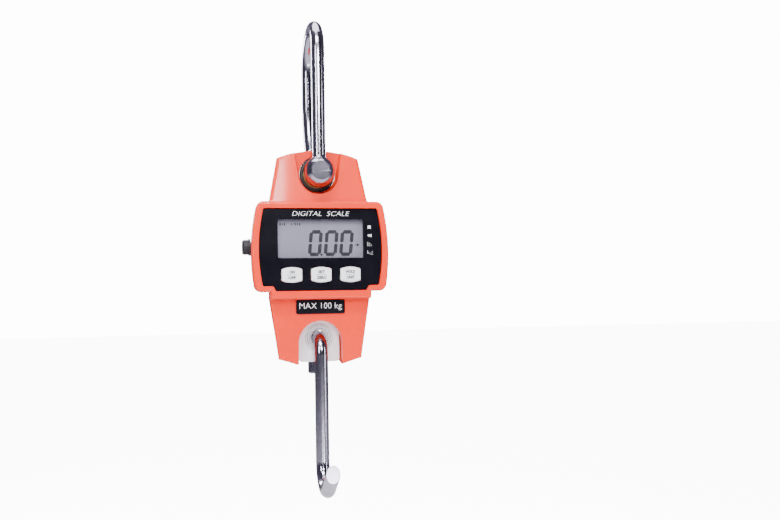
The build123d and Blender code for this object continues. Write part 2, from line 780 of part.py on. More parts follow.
with BuildPart() as button_collar:
    with BuildSketch(Plane.YZ.offset(SIDE_X)):
        with Locations((BUTTON_Y, BUTTON_Z)):
            Circle(5.0)
    extrude(amount=-1.2)
    with BuildSketch(Plane.YZ.offset(SIDE_X)):
        with Locations((BUTTON_Y, BUTTON_Z)):
            Circle(3.0)
    extrude(amount=4.6)
    with BuildSketch(Plane.YZ.offset(SIDE_X - 3)):
        with Locations((BUTTON_Y, BUTTON_Z)):
            Circle(2.3)
    extrude(amount=12, mode=Mode.SUBTRACT)
    with BuildSketch(Plane.YZ.offset(SIDE_X - 3)):
        with Locations((BUTTON_Y, BUTTON_Z)):
            Circle(4.65)
    extrude(amount=2.6, mode=Mode.SUBTRACT)
save(button_collar.part, "button_collar")

with BuildPart() as button_nut:
    with BuildSketch(Plane.YZ.offset(SIDE_X + 3.4)):
        with Locations((BUTTON_Y, BUTTON_Z)):
            RegularPolygon(4.6, 6)
            Circle(3.05, mode=Mode.SUBTRACT)
    extrude(amount=1.6)
save(button_nut.part, "button_nut")

with BuildPart() as side_button:
    with BuildSketch(Plane.YZ.offset(SIDE_X - 1.1)):
        with Locations((BUTTON_Y, BUTTON_Z)):
            Circle(4.45)
    extrude(amount=-3.8)
    chamfer(side_button.faces().sort_by(Axis.X)[0].edges(), 0.9, 0.6)
    fillet(side_button.faces().sort_by(Axis.X)[-1].edges(), 0.3)
    with BuildSketch(Plane.YZ.offset(SIDE_X - 1.1)):
        with Locations((BUTTON_Y, BUTTON_Z)):
            Circle(1.9)
    extrude(amount=5.1)
save(side_button.part, "side_button")

with BuildPart() as button_switch:
    with BuildSketch(Plane.YZ.offset(SIDE_X + 5.0)):
        with Locations((BUTTON_Y, BUTTON_Z)):
            Rectangle(7.0, 7.0)
    extrude(amount=4.0)
    with BuildSketch(Plane.YZ.offset(SIDE_X + 9.0)):
        with Locations((BUTTON_Y + 1.5, BUTTON_Z - 1.8), (BUTTON_Y + 1.5, BUTTON_Z + 1.8)):
            Rectangle(0.5, 1.6)
    extrude(amount=1.6)
save(button_switch.part, "button_switch")

# ---------------------------------------------------------------- batteries

with BuildPart() as battery_door:
    door_mid = (TRAY_TOP + HINGE_Z) / 2 + 0.3 + 0.45
    with BuildSketch(at_y(REAR_Y)):
        with Locations((0, (TRAY_TOP + 1.1 + HINGE_Z) / 2)):
            Rectangle(2 * TRAY_X + 0.4, TRAY_TOP + 1.1 - HINGE_Z)
    extrude(amount=REAR_Y - DOOR_Y)
    with BuildSketch(Plane.YZ):
        with Locations((DOOR_Y + 0.7, HINGE_Z)):
            Circle(0.7)
    extrude(amount=TRAY_X + 0.2, both=True)
    with BuildSketch(Plane.YZ):
        with Locations((DOOR_Y + 0.7, HINGE_Z)):
            Circle(0.6)
    extrude(amount=TRAY_X + 1.1, both=True)
    for rib in range(5):
        with BuildSketch(at_y(REAR_Y)):
            with Locations((0, TRAY_TOP - 3.0 - 1.6 * rib)):
                Rectangle(16.0 - 2 * rib, 0.7)
        extrude(amount=-0.35, mode=Mode.SUBTRACT)
    with BuildSketch(at_y(DOOR_Y)):
        with Locations((0, TRAY_TOP - 1.2)):
            Rectangle(12.0, 1.6)
    extrude(amount=1.4)
save(battery_door.part, "battery_door")

for index, cell_z in enumerate(AA_Z):
    tip = 1 if index % 2 == 0 else -1
    with BuildPart() as battery:
        with BuildSketch(Plane.YZ):
            with Locations((AA_Y + 0.4, cell_z)):
                Circle(AA_R)
        extrude(amount=AA_L / 2 - 0.5, both=True)
        with BuildSketch(Plane.YZ):
            with Locations((AA_Y + 0.4, cell_z)):
                Circle(1.9)
        extrude(amount=tip * (AA_L / 2 + 0.3))
    save(battery.part, f"battery_cell_{index + 1}")

with BuildPart() as battery_contacts:
    for index, cell_z in enumerate(AA_Z):
        tip = 1 if index % 2 == 0 else -1
        for side in (-1, 1):
            with Locations((side * (TRAY_X - 0.2), AA_Y + 0.4, cell_z)):
                Box(0.4, 8.6, 9.0)
        with BuildSketch(Plane.YZ.offset(-tip * (TRAY_X - 0.4))):
            with Locations((AA_Y + 0.4, cell_z)):
                Circle(3.2)
                Circle(2.5, mode=Mode.SUBTRACT)
        extrude(amount=tip * 3.4)
save(battery_contacts.part, "battery_contacts")

# ---------------------------------------------------------------- leads

def make_lead(radius, bend, points, heading):
    with BuildPart() as cord:
        with BuildLine() as way:
            FilletPolyline(*points, radius=bend)
        with BuildSketch(Plane(origin=points[0], z_dir=heading)):
            Circle(radius)
        sweep(path=way.wires()[0])
    return cord.part


LEAD_END = BOARD_Y1 + 0.05

cell_way = ((-13.65, -4.0, -134.5), (-17.5, -4.0, -134.5), (-17.5, -4.0, -128.0), (-17.5, LEAD_END, -128.0))
save(make_lead(0.9, 1.8, cell_way, (-1, 0, 0)), "load_cell_lead")

red_way = ((27.1, 6, -120), (30.5, 6, -120), (30.5, -11.8, -120), (30.5, -11.8, -131), (24.5, -11.8, -131))
save(make_lead(0.65, 1.4, (*red_way, (24.5, LEAD_END, -131)), (1, 0, 0)), "battery_lead_red")

black_way = ((-27.1, 6, -139), (-30.5, 6, -139), (-30.5, -11.8, -139), (-30.5, -11.8, -146), (-25, -11.8, -146))
save(make_lead(0.65, 1.4, (*black_way, (-25, LEAD_END, -146)), (-1, 0, 0)), "battery_lead_black")

for name, lead_z in (("button_lead_upper", BUTTON_Z + 1.8), ("button_lead_lower", BUTTON_Z - 1.8)):
    button_way = ((SIDE_X + 10.65, -9.5, lead_z), (-26.5, -9.5, lead_z), (-26.5, LEAD_END, lead_z))
    save(make_lead(0.5, 1.3, button_way, (1, 0, 0)), name)
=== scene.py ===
import math

import bpy
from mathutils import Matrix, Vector


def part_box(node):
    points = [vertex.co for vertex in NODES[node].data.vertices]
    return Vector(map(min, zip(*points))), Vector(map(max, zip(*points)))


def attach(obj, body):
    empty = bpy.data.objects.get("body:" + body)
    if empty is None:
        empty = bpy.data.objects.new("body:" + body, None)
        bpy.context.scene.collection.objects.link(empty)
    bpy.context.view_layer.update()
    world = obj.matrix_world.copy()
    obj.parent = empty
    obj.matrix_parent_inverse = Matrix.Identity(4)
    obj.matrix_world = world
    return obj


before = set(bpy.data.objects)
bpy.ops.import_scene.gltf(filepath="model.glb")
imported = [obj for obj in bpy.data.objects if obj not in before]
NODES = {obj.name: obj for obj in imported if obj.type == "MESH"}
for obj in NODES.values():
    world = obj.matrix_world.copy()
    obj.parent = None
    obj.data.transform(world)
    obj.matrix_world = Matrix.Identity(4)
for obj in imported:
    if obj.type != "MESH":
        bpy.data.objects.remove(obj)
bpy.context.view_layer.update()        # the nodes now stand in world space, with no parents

MM = 0.001

# sockets of a Mix node that works on colours
MIX_AMOUNT, MIX_FIRST, MIX_SECOND, MIX_RESULT = 0, 6, 7, 2
GRAIN_STEP = 0.2 * MM
SCRATCH_DENSITY = 0.66


# ------------------------------------------------------------ shared finish groups

def new_group(name, inputs, outputs):
    tree = bpy.data.node_groups.new(name, "ShaderNodeTree")
    for label, kind, value in inputs:
        socket = tree.interface.new_socket(name=label, in_out="INPUT", socket_type=kind)
        socket.default_value = value
    for label, kind in outputs:
        tree.interface.new_socket(name=label, in_out="OUTPUT", socket_type=kind)
    return tree, tree.nodes.new("NodeGroupInput"), tree.nodes.new("NodeGroupOutput")


def noise(tree, vector, scale, detail=3.0, roughness=0.5):
    node = tree.nodes.new("ShaderNodeTexNoise")
    node.inputs["Detail"].default_value = detail
    node.inputs["Roughness"].default_value = roughness
    tree.links.new(vector, node.inputs["Vector"])
    if isinstance(scale, (int, float)):
        node.inputs["Scale"].default_value = scale
    else:
        tree.links.new(scale, node.inputs["Scale"])
    return node.outputs["Fac"]


def remap(tree, value, low, high, to_low=0.0, to_high=1.0):
    node = tree.nodes.new("ShaderNodeMapRange")
    tree.links.new(value, node.inputs["Value"])
    node.inputs["From Min"].default_value = low
    node.inputs["From Max"].default_value = high
    node.inputs["To Min"].default_value = to_low
    node.inputs["To Max"].default_value = to_high
    return node.outputs["Result"]


def math_node(tree, kind, first, second):
    node = tree.nodes.new("ShaderNodeMath")
    node.operation = kind
    for index, value in enumerate((first, second)):
        if isinstance(value, (int, float)):
            node.inputs[index].default_value = value
        else:
            tree.links.new(value, node.inputs[index])
    return node.outputs[0]


def mix_colour(tree, amount, first, second):
    node = tree.nodes.new("ShaderNodeMix")
    node.data_type = "RGBA"
    for index, value in ((MIX_AMOUNT, amount), (MIX_FIRST, first), (MIX_SECOND, second)):
        if isinstance(value, (int, float, tuple)):
            node.inputs[index].default_value = value
        else:
            tree.links.new(value, node.inputs[index])
    return node.outputs[MIX_RESULT]


def object_position(tree, scale=(1, 1, 1), location=(0, 0, 0), rotation=(0, 0, 0)):
    """The place on the piece, stretched, moved and turned for a pattern."""
    coordinate = tree.nodes.new("ShaderNodeTexCoord")
    mapping = tree.nodes.new("ShaderNodeMapping")
    mapping.inputs["Scale"].default_value = scale
    mapping.inputs["Location"].default_value = location
    mapping.inputs["Rotation"].default_value = rotation
    tree.links.new(coordinate.outputs["Object"], mapping.inputs["Vector"])
    return mapping.outputs["Vector"]


def build_mottle():
    """Two close shades in soft patches, with the gloss changing a little with them."""
    tree, inside, outside = new_group(
        "colour_mottle",
        [("Base", "NodeSocketColor", (0.5, 0.5, 0.5, 1)),
         ("Shade", "NodeSocketColor", (0.4, 0.4, 0.4, 1)),
         ("Scale", "NodeSocketFloat", 60.0),
         ("Roughness", "NodeSocketFloat", 0.4),
         ("Spread", "NodeSocketFloat", 0.1)],
        [("Color", "NodeSocketColor"), ("Roughness", "NodeSocketFloat")])
    where = object_position(tree)
    wide = noise(tree, where, inside.outputs["Scale"], 4.0, 0.55)
    fine = noise(tree, where, 900.0, 2.0)
    both = math_node(tree, "ADD", wide, math_node(tree, "MULTIPLY", fine, 0.25))
    blend = remap(tree, both, 0.45, 0.85)
    colour = mix_colour(tree, blend, inside.outputs["Base"], inside.outputs["Shade"])
    tree.links.new(colour, outside.inputs["Color"])
    swing = math_node(tree, "MULTIPLY", math_node(tree, "SUBTRACT", wide, 0.5), inside.outputs["Spread"])
    tree.links.new(math_node(tree, "ADD", inside.outputs["Roughness"], swing), outside.inputs["Roughness"])
    return tree


def build_grain():
    """The fine texture of a mould's surface."""
    tree, inside, outside = new_group(
        "moulded_grain", [("Scale", "NodeSocketFloat", 1500.0)], [("Height", "NodeSocketFloat")])
    where = object_position(tree)
    grain = noise(tree, where, inside.outputs["Scale"], 2.0, 0.6)
    tree.links.new(grain, outside.inputs["Height"])
    return tree


def build_scratches():
    """Thin scratches in two directions, kept to patches."""
    tree, inside, outside = new_group(
        "hairline_scratches", [("Density", "NodeSocketFloat", 0.62)], [("Mask", "NodeSocketFloat")])
    along = noise(tree, object_position(tree, (2600, 2600, 45), rotation=(0.12, 0.05, 0.0)), 1.0, 1.0)
    across = noise(tree, object_position(tree, (60, 60, 2400), rotation=(0.5, 0.3, 0.0)), 1.0, 1.0)
    patch = noise(tree, object_position(tree), 70.0, 2.0)
    lines = math_node(tree, "MAXIMUM", along, across)
    edge = math_node(tree, "GREATER_THAN", lines, inside.outputs["Density"])
    tree.links.new(math_node(tree, "MULTIPLY", edge, remap(tree, patch, 0.48, 0.62)), outside.inputs["Mask"])
    return tree


MOTTLE = build_mottle()
GRAIN = build_grain()
SCRATCHES = build_scratches()


def use_group(tree, group, **values):
    node = tree.nodes.new("ShaderNodeGroup")
    node.node_tree = group
    for label, value in values.items():
        node.inputs[label].default_value = value
    return node


def finish(name, base, shade, roughness=0.4, spread=0.1, scale=60.0, metallic=0.0, grain=1500.0, depth=0.02,
           scratch=0.0, coat=0.0, coat_roughness=0.1, specular=0.5):
    """A procedural finish: mottled colour and roughness, fine grain and hairline scratches."""
    material = bpy.data.materials.new(name)
    material.use_nodes = True
    tree = material.node_tree
    shader = tree.nodes["Principled BSDF"]
    mottle = use_group(tree, MOTTLE, Base=(*base, 1), Shade=(*shade, 1), Scale=scale,
                       Roughness=roughness, Spread=spread)
    tree.links.new(mottle.outputs["Color"], shader.inputs["Base Color"])
    rough = mottle.outputs["Roughness"]
    if scratch > 0:
        marks = use_group(tree, SCRATCHES, Density=SCRATCH_DENSITY)
        rough = math_node(tree, "ADD", rough, math_node(tree, "MULTIPLY", marks.outputs["Mask"], scratch))
    tree.links.new(rough, shader.inputs["Roughness"])
    texture = use_group(tree, GRAIN, Scale=grain)
    bump = tree.nodes.new("ShaderNodeBump")
    bump.inputs["Strength"].default_value = depth
    bump.inputs["Distance"].default_value = GRAIN_STEP
    tree.links.new(texture.outputs["Height"], bump.inputs["Height"])
    tree.links.new(bump.outputs["Normal"], shader.inputs["Normal"])
    shader.inputs["Metallic"].default_value = metallic
    shader.inputs["Coat Weight"].default_value = coat
    shader.inputs["Coat Roughness"].default_value = coat_roughness
    shader.inputs["Specular IOR Level"].default_value = specular
    return material


# ------------------------------------------------------------ finishes

ORANGE = finish("orange_abs", (0.84, 0.030, 0.003), (0.77, 0.024, 0.002), 0.45, 0.10, 40,
                grain=1400, depth=0.12, scratch=0.10, coat=0.32, coat_roughness=0.07, specular=0.2)
BLACK_FILM = finish("black_panel_film", (0.0030, 0.0028, 0.0055), (0.0045, 0.0042, 0.0075), 0.20, 0.08, 90,
                    grain=2600, depth=0.03, scratch=0.02, specular=0.22)
BLACK_PLASTIC = finish("black_button_plastic", (0.010, 0.010, 0.014), (0.016, 0.016, 0.022), 0.42, 0.12, 200,
                       grain=2400, depth=0.12, scratch=0.05, specular=0.2)
BLACK_ZINC = finish("black_zinc_washer", (0.05, 0.045, 0.05), (0.03, 0.028, 0.03), 0.42, 0.12, 300,
                    metallic=0.9, scratch=0.1)
RUBBER = finish("black_seal_rubber", (0.012, 0.012, 0.012), (0.02, 0.02, 0.02), 0.7, 0.1, 150,
                grain=3000, depth=0.2)
KEY_WHITE = finish("white_key_plastic", (0.90, 0.91, 0.94), (0.85, 0.86, 0.90), 0.38, 0.08, 120, grain=2200,
                   depth=0.10, coat=0.1)
WHITE_PLASTIC = finish("white_backlight", (0.78, 0.78, 0.75), (0.70, 0.70, 0.67), 0.5, 0.1, 80)
POLISHED = finish("polished_hook_steel", (0.40, 0.385, 0.47), (0.32, 0.305, 0.385), 0.17, 0.08, 110,
                  metallic=1.0, grain=1100, depth=0.005, scratch=0.12)
ZINC = finish("zinc_screw_steel", (0.55, 0.56, 0.60), (0.45, 0.46, 0.49), 0.32, 0.12, 300,
              metallic=1.0, scratch=0.2)
BRONZE = finish("bronze_bush", (0.50, 0.33, 0.14), (0.38, 0.25, 0.11), 0.35, 0.12, 300,
                metallic=1.0, scratch=0.2)
CHIP = finish("chip_black", (0.02, 0.02, 0.022), (0.03, 0.03, 0.032), 0.5, 0.1, 300,
              grain=3000, depth=0.2)
FOIL = finish("gauge_foil", (0.62, 0.36, 0.10), (0.50, 0.28, 0.08), 0.35, 0.1, 400)
SEALANT = finish("white_sealant", (0.78, 0.78, 0.74), (0.66, 0.66, 0.62), 0.55, 0.2, 200,
                 grain=900, depth=0.3)
RED_WIRE = finish("red_wire_cover", (0.50, 0.02, 0.02), (0.42, 0.015, 0.015), 0.4, 0.1, 200)
BLACK_WIRE = finish("black_wire_cover", (0.012, 0.012, 0.012), (0.02, 0.02, 0.02), 0.4, 0.1, 200)
GREY_WIRE = finish("grey_wire_cover", (0.30, 0.30, 0.31), (0.24, 0.24, 0.25), 0.45, 0.1, 200)
PRINT_WHITE = finish("white_print", (0.90, 0.90, 0.92), (0.84, 0.84, 0.87), 0.5, 0.1, 300)
PRINT_GREY = finish("grey_print", (0.012, 0.012, 0.022), (0.02, 0.02, 0.035), 0.5, 0.1, 300)
SEGMENT_INK = finish("display_segment", (0.004, 0.004, 0.010), (0.006, 0.006, 0.013), 0.5, 0.05, 200)


def load_cell_finish():
    """Milled aluminium, with turned rings round the lower hole, their grooves darkened with painted shade.
    """
    centre = (0.0, 0.0, 183.0 * MM)      # brings the lower hole to the pattern's middle
    rings_stop, rings_fade = 8.6 * MM, 8.0 * MM
    material = finish("milled_aluminium", (0.95, 0.94, 0.98), (0.88, 0.87, 0.92), 0.36, 0.12, 70,
                      metallic=0.35)
    tree = material.node_tree
    shader = tree.nodes["Principled BSDF"]
    rings = tree.nodes.new("ShaderNodeTexWave")
    rings.wave_type = "RINGS"
    rings.rings_direction = "Y"
    rings.inputs["Scale"].default_value = 270.0
    tree.links.new(object_position(tree, location=centre), rings.inputs["Vector"])
    reach = tree.nodes.new("ShaderNodeVectorMath")
    reach.operation = "LENGTH"
    tree.links.new(object_position(tree, scale=(1, 0, 1), location=centre), reach.inputs[0])
    near = remap(tree, reach.outputs["Value"], rings_stop, rings_fade)
    lines = noise(tree, object_position(tree, (60, 60, 3200)), 1.0, 2.0)
    height = math_node(tree, "ADD", math_node(tree, "MULTIPLY", rings.outputs["Fac"], near),
                       math_node(tree, "MULTIPLY", lines, 0.6))
    bump = next(node for node in tree.nodes if node.type == "BUMP")
    bump.inputs["Strength"].default_value = 0.25
    bump.inputs["Distance"].default_value = 0.1 * MM
    tree.links.new(height, bump.inputs["Height"])
    # painted shade: near the hole the ring grooves are mixed towards a dark grey
    painted_groove_shade = math_node(tree, "MULTIPLY", remap(tree, rings.outputs["Fac"], 0.55, 0.25), near)
    plain = shader.inputs["Base Color"].links[0].from_socket
    groove_shade_amount = math_node(tree, "MULTIPLY", painted_groove_shade, 0.75)
    tree.links.new(mix_colour(tree, groove_shade_amount, plain, (0.16, 0.15, 0.18, 1)), shader.inputs["Base Color"])
    shader.inputs["Anisotropic"].default_value = 0.4
    return material


def display_finish():
    """Grey liquid crystal, with painted shade darkening it along its top, under the frame."""
    shade_from, shade_full = -117.0 * MM, -114.2 * MM
    material = finish("liquid_crystal", (0.235, 0.23, 0.30), (0.215, 0.21, 0.275), 0.30, 0.05, 60,
                      grain=3000, depth=0.02)
    tree = material.node_tree
    shader = tree.nodes["Principled BSDF"]
    height = tree.nodes.new("ShaderNodeSeparateXYZ")
    tree.links.new(object_position(tree), height.inputs[0])
    # painted shade: a darker grey mixed into the crystal towards its top, where the frame shades it
    painted_top_shade = remap(tree, height.outputs["Z"], shade_from, shade_full, 0.0, 0.85)
    plain = shader.inputs["Base Color"].links[0].from_socket
    colour = mix_colour(tree, painted_top_shade, plain, (0.085, 0.082, 0.115, 1))
    tree.links.new(colour, shader.inputs["Base Color"])
    return material


def window_finish():
    """A clear window with a faint haze."""
    material = bpy.data.materials.new("clear_window")
    material.use_nodes = True
    tree = material.node_tree
    shader = tree.nodes["Principled BSDF"]
    haze = noise(tree, object_position(tree), 120.0, 3.0)
    tint = mix_colour(tree, haze, (0.010, 0.010, 0.014, 1), (0.016, 0.016, 0.022, 1))
    tree.links.new(tint, shader.inputs["Base Color"])
    tree.links.new(remap(tree, haze, 0.3, 0.7, 0.03, 0.09), shader.inputs["Roughness"])
    shader.inputs["Alpha"].default_value = 0.07
    return material


def board_finish():
    """Green solder mask with faint tracks."""
    material = finish("green_board", (0.01, 0.16, 0.05), (0.008, 0.11, 0.035), 0.32, 0.1, 300)
    tree = material.node_tree
    shader = tree.nodes["Principled BSDF"]
    tracks = tree.nodes.new("ShaderNodeTexBrick")
    tracks.inputs["Scale"].default_value = 260.0
    tracks.inputs["Mortar Size"].default_value = 0.06
    tracks.inputs["Color1"].default_value = (0.01, 0.16, 0.05, 1)
    tracks.inputs["Color2"].default_value = (0.012, 0.13, 0.045, 1)
    tracks.inputs["Mortar"].default_value = (0.05, 0.26, 0.10, 1)
    tree.links.new(object_position(tree, rotation=(math.pi / 2, 0, 0)), tracks.inputs["Vector"])
    tree.links.new(tracks.outputs["Color"], shader.inputs["Base Color"])
    return material


def battery_finish(name, turned):
    """A battery wrap: dark blue, with a copper band and a bare metal end. turned is -1 for a cell laid
    the other way round."""
    band_x, end_x = 9.8 * MM, 20.6 * MM
    material = finish(name, (0.03, 0.08, 0.26), (0.025, 0.06, 0.2), 0.25, 0.1, 80,
                      metallic=0.3, scratch=0.15)
    tree = material.node_tree
    shader = tree.nodes["Principled BSDF"]
    split_x = tree.nodes.new("ShaderNodeSeparateXYZ")
    tree.links.new(object_position(tree, scale=(turned, 1, 1)), split_x.inputs[0])
    copper = remap(tree, split_x.outputs["X"], band_x, band_x + 0.2 * MM)
    metal_end = remap(tree, split_x.outputs["X"], end_x, end_x + 0.1 * MM)
    wrap = mix_colour(tree, copper, (0.03, 0.08, 0.26, 1), (0.62, 0.28, 0.10, 1))
    tree.links.new(mix_colour(tree, metal_end, wrap, (0.6, 0.6, 0.62, 1)), shader.inputs["Base Color"])
    return material


CELL_METAL = load_cell_finish()
DISPLAY = display_finish()
WINDOW = window_finish()
BOARD = board_finish()

NODE_FINISH = {
    "front_shell": ORANGE, "rear_shell": ORANGE, "battery_door": ORANGE, "shell_gasket": RUBBER,
    "load_cell": CELL_METAL, "strain_gauges": FOIL, "gauge_sealant": SEALANT, "upper_pin_bush": BRONZE,
    "load_cell_screws": ZINC, "housing_screws": ZINC, "display_overlay": BLACK_FILM, "lcd_window": WINDOW,
    "lcd_panel": DISPLAY, "lcd_backlight": WHITE_PLASTIC, "lcd_zebra_strips": RUBBER, "main_board": BOARD,
    "board_components": CHIP, "board_screws": ZINC, "radio_board": BOARD, "tact_switches": BLACK_PLASTIC,
    "capacity_plate": BLACK_FILM, "button_collar": BLACK_PLASTIC, "button_nut": ZINC,
    "button_switch": BLACK_PLASTIC, "battery_contacts": ZINC, "load_cell_lead": GREY_WIRE,
    "battery_lead_red": RED_WIRE, "battery_lead_black": BLACK_WIRE, "button_lead_upper": BLACK_WIRE,
    "button_lead_lower": BLACK_WIRE, "on_off_key": KEY_WHITE, "zero_key": KEY_WHITE, "hold_key": KEY_WHITE,
    "side_button": BLACK_PLASTIC, "upper_hook": POLISHED, "pin_washer": BLACK_ZINC, "retaining_ring": ZINC,
    "lower_hook": POLISHED,
    "battery_cell_1": battery_finish("battery_wrap_right", 1),
    "battery_cell_2": battery_finish("battery_wrap_left", -1),
}
NODE_FINISH["battery_cell_3"] = NODE_FINISH["battery_cell_1"]

for node_name, node in NODES.items():
    for slot in node.material_slots:
        slot.material = NODE_FINISH[node_name]


# ------------------------------------------------------------ modelling helpers

def clear_selection():
    if bpy.context.object and bpy.context.object.mode != "OBJECT":
        bpy.ops.object.mode_set(mode="OBJECT")
    bpy.ops.object.select_all(action="DESELECT")


def pick(*pieces):
    clear_selection()
    for piece in pieces:
        piece.select_set(True)
    bpy.context.view_layer.objects.active = pieces[0]


def settle(piece):
    """Applies the place, turn and size, and closes the mesh with its faces outward."""
    pick(piece)
    bpy.ops.object.transform_apply(location=True, rotation=True, scale=True)
    bpy.ops.object.mode_set(mode="EDIT")
    bpy.ops.mesh.select_all(action="SELECT")
    bpy.ops.mesh.remove_doubles(threshold=1e-6)
    bpy.ops.mesh.normals_make_consistent(inside=False)
    bpy.ops.object.mode_set(mode="OBJECT")


def mesh_box(piece):
    spots = [vertex.co for vertex in piece.data.vertices]
    low = Vector(min(spot[axis] for spot in spots) for axis in range(3))
    high = Vector(max(spot[axis] for spot in spots) for axis in range(3))
    return low, high


def move_to(piece, centre):
    low, high = mesh_box(piece)
    piece.location = Vector(centre) - (low + high) / 2
    pick(piece)
    bpy.ops.object.transform_apply(location=True, rotation=False, scale=False)
    return piece


def join(name, pieces):
    pick(*pieces)
    if len(pieces) > 1:
        bpy.ops.object.join()
    joined = bpy.context.object
    joined.name = name
    joined.data.name = name
    return joined


def dress(piece, material, body):
    piece.data.materials.clear()
    piece.data.materials.append(material)
    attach(piece, body)


def copies(master, centres):
    """Copies of one piece, each with its own mesh, moved to their places. The model itself is dropped."""
    pieces = []
    for centre in centres:
        piece = master.copy()
        piece.data = master.data.copy()
        bpy.context.collection.objects.link(piece)
        pieces.append(move_to(piece, centre))
    bpy.data.objects.remove(master)
    return pieces


PRINT_T = 0.05 * MM
PRINT_LIFT = PRINT_T * 0.4       # from a face to the middle of the print on it
ORIGIN = (0, 0, 0)
SQUARE_ON = math.pi / 4          # turns a four-sided plate so that its sides are level


def lettering(words, centre, width, height, tilt=0.0, slant=0.0, swell=-0.12 * MM):
    """Printed letters facing -Y, fitted to a width and height, standing a hair proud of the face.
    swell makes the strokes fatter, or thinner when it is below zero."""
    clear_selection()
    bpy.ops.object.text_add(location=ORIGIN)
    text = bpy.context.object
    text.data.body = words
    text.data.size = 0.01
    text.data.shear = slant
    text.data.resolution_u = 3
    text.data.extrude = PRINT_T / 2
    text.data.offset = swell
    bpy.ops.object.convert(target="MESH")
    piece = bpy.context.object
    low, high = mesh_box(piece)
    piece.scale = (width / (high.x - low.x), height / (high.y - low.y), 1.0)
    piece.rotation_euler = (math.pi / 2 + tilt, 0, 0)
    settle(piece)
    return move_to(piece, centre)


def prism(sides, radius, centre, turn=0.0, stretch=(1, 1), depth=PRINT_T, bevel=0.0):
    """A flat mark facing -Y: a plate with so many sides, its edges rounded where a bevel is given."""
    clear_selection()
    bpy.ops.mesh.primitive_cylinder_add(vertices=sides, radius=radius, depth=depth, location=ORIGIN)
    piece = bpy.context.object
    piece.rotation_euler = (0, 0, turn)
    bpy.ops.object.transform_apply(location=False, rotation=True, scale=False)
    piece.scale = (stretch[0], stretch[1], 1)
    piece.rotation_euler = (math.pi / 2, 0, 0)
    settle(piece)
    if bevel > 0:
        bpy.ops.object.mode_set(mode="EDIT")
        bpy.ops.mesh.select_all(action="SELECT")
        bpy.ops.mesh.bevel(offset=bevel, segments=2)
        bpy.ops.object.mode_set(mode="OBJECT")
    return move_to(piece, centre)


# ------------------------------------------------------------ display segments

DISPLAY_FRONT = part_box("lcd_panel")[0].y
INK_Y = DISPLAY_FRONT - PRINT_T / 2
DIGIT_X = (-2.9 * MM, 6.4 * MM, 15.5 * MM)
DIGIT_Z = -127.3 * MM
DIGIT_W = 5.75 * MM
DIGIT_H = 13.0 * MM
STROKE = 2.05 * MM
UPRIGHT_GAP = 0.45 * MM          # left between the bars where they meet
LEVEL_GAP = 0.35 * MM
SLANT = 0.10
HALF_SIX = 0.577                 # corner radius of a six-sided plate, for a width of one


def segment(length, width, upright):
    """One display segment: a six-sided bar with pointed ends."""
    clear_selection()
    bpy.ops.mesh.primitive_cylinder_add(vertices=6, radius=width * HALF_SIX, depth=PRINT_T, location=ORIGIN)
    piece = bpy.context.object
    stretch = (length - width * HALF_SIX * 2) / 2
    for side in (1, -1):
        bpy.ops.object.mode_set(mode="EDIT")
        bpy.ops.mesh.select_all(action="DESELECT")
        bpy.ops.object.mode_set(mode="OBJECT")
        for vertex in piece.data.vertices:
            vertex.select = vertex.co.y * side > 1e-6
        bpy.ops.object.mode_set(mode="EDIT")
        bpy.ops.transform.translate(value=(0, side * stretch, 0))
    bpy.ops.object.mode_set(mode="OBJECT")
    piece.rotation_euler = (math.pi / 2, 0 if upright else math.pi / 2, 0)
    settle(piece)
    return piece


def lean(piece, foot, slope):
    """Slopes a piece to the right above its foot height, and to the left below it."""
    for vertex in piece.data.vertices:
        vertex.co.x += (vertex.co.z - foot) * slope
    piece.data.update()


# every digit reads nought: two upright bars on each side, and a level bar at its top and foot
upright_spots = [(x + side * DIGIT_W / 2, INK_Y, DIGIT_Z + lift * DIGIT_H / 4)
                 for x in DIGIT_X for side in (-1, 1) for lift in (-1, 1)]
level_spots = [(x, INK_Y, DIGIT_Z + lift * DIGIT_H / 2) for x in DIGIT_X for lift in (-1, 1)]
segments = copies(segment(DIGIT_H / 2 - UPRIGHT_GAP, STROKE, True), upright_spots)
segments += copies(segment(DIGIT_W - LEVEL_GAP, STROKE, False), level_spots)
segments.append(prism(16, 0.75 * MM, (1.3 * MM, INK_Y, DIGIT_Z - DIGIT_H / 2 - 0.2 * MM)))
digits = join("display_digits", segments)
lean(digits, DIGIT_Z, SLANT)
dress(digits, SEGMENT_INK, "housing")

POINTER_Z = -128.4 * MM
STATUS_Z = -116.4 * MM
STATUS_W = 0.42 * MM
TALL_X = (-23.3, -20.7, -14.6, -11.9)
SHORT_X = (-22.0, -16.6, -13.2)
status_marks = [
    prism(3, 1.1 * MM, (22.4 * MM, INK_Y, POINTER_Z), turn=-math.pi / 2),
    prism(4, 0.35 * MM, (20.9 * MM, INK_Y, POINTER_Z), turn=SQUARE_ON, stretch=(1.6, 1.2)),
]
for row, height in ((TALL_X, 2.5), (SHORT_X, 1.7)):
    bar = prism(4, STATUS_W, ORIGIN, turn=SQUARE_ON, stretch=(1, height))
    status_marks += copies(bar, [(x * MM, INK_Y, STATUS_Z) for x in row])
status = join("display_status_marks", status_marks)
dress(status, SEGMENT_INK, "housing")


# ------------------------------------------------------------ printing on the panel film

FILM_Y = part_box("display_overlay")[0].y - PRINT_LIFT
HEADING_Z = -110.4 * MM

heading = lettering("DIGITAL  SCALE", (0.3 * MM, FILM_Y, HEADING_Z), 33.6 * MM, 2.7 * MM,
                    slant=0.25, swell=-0.16 * MM)
heading.name = "panel_heading"
dress(heading, PRINT_WHITE, "housing")

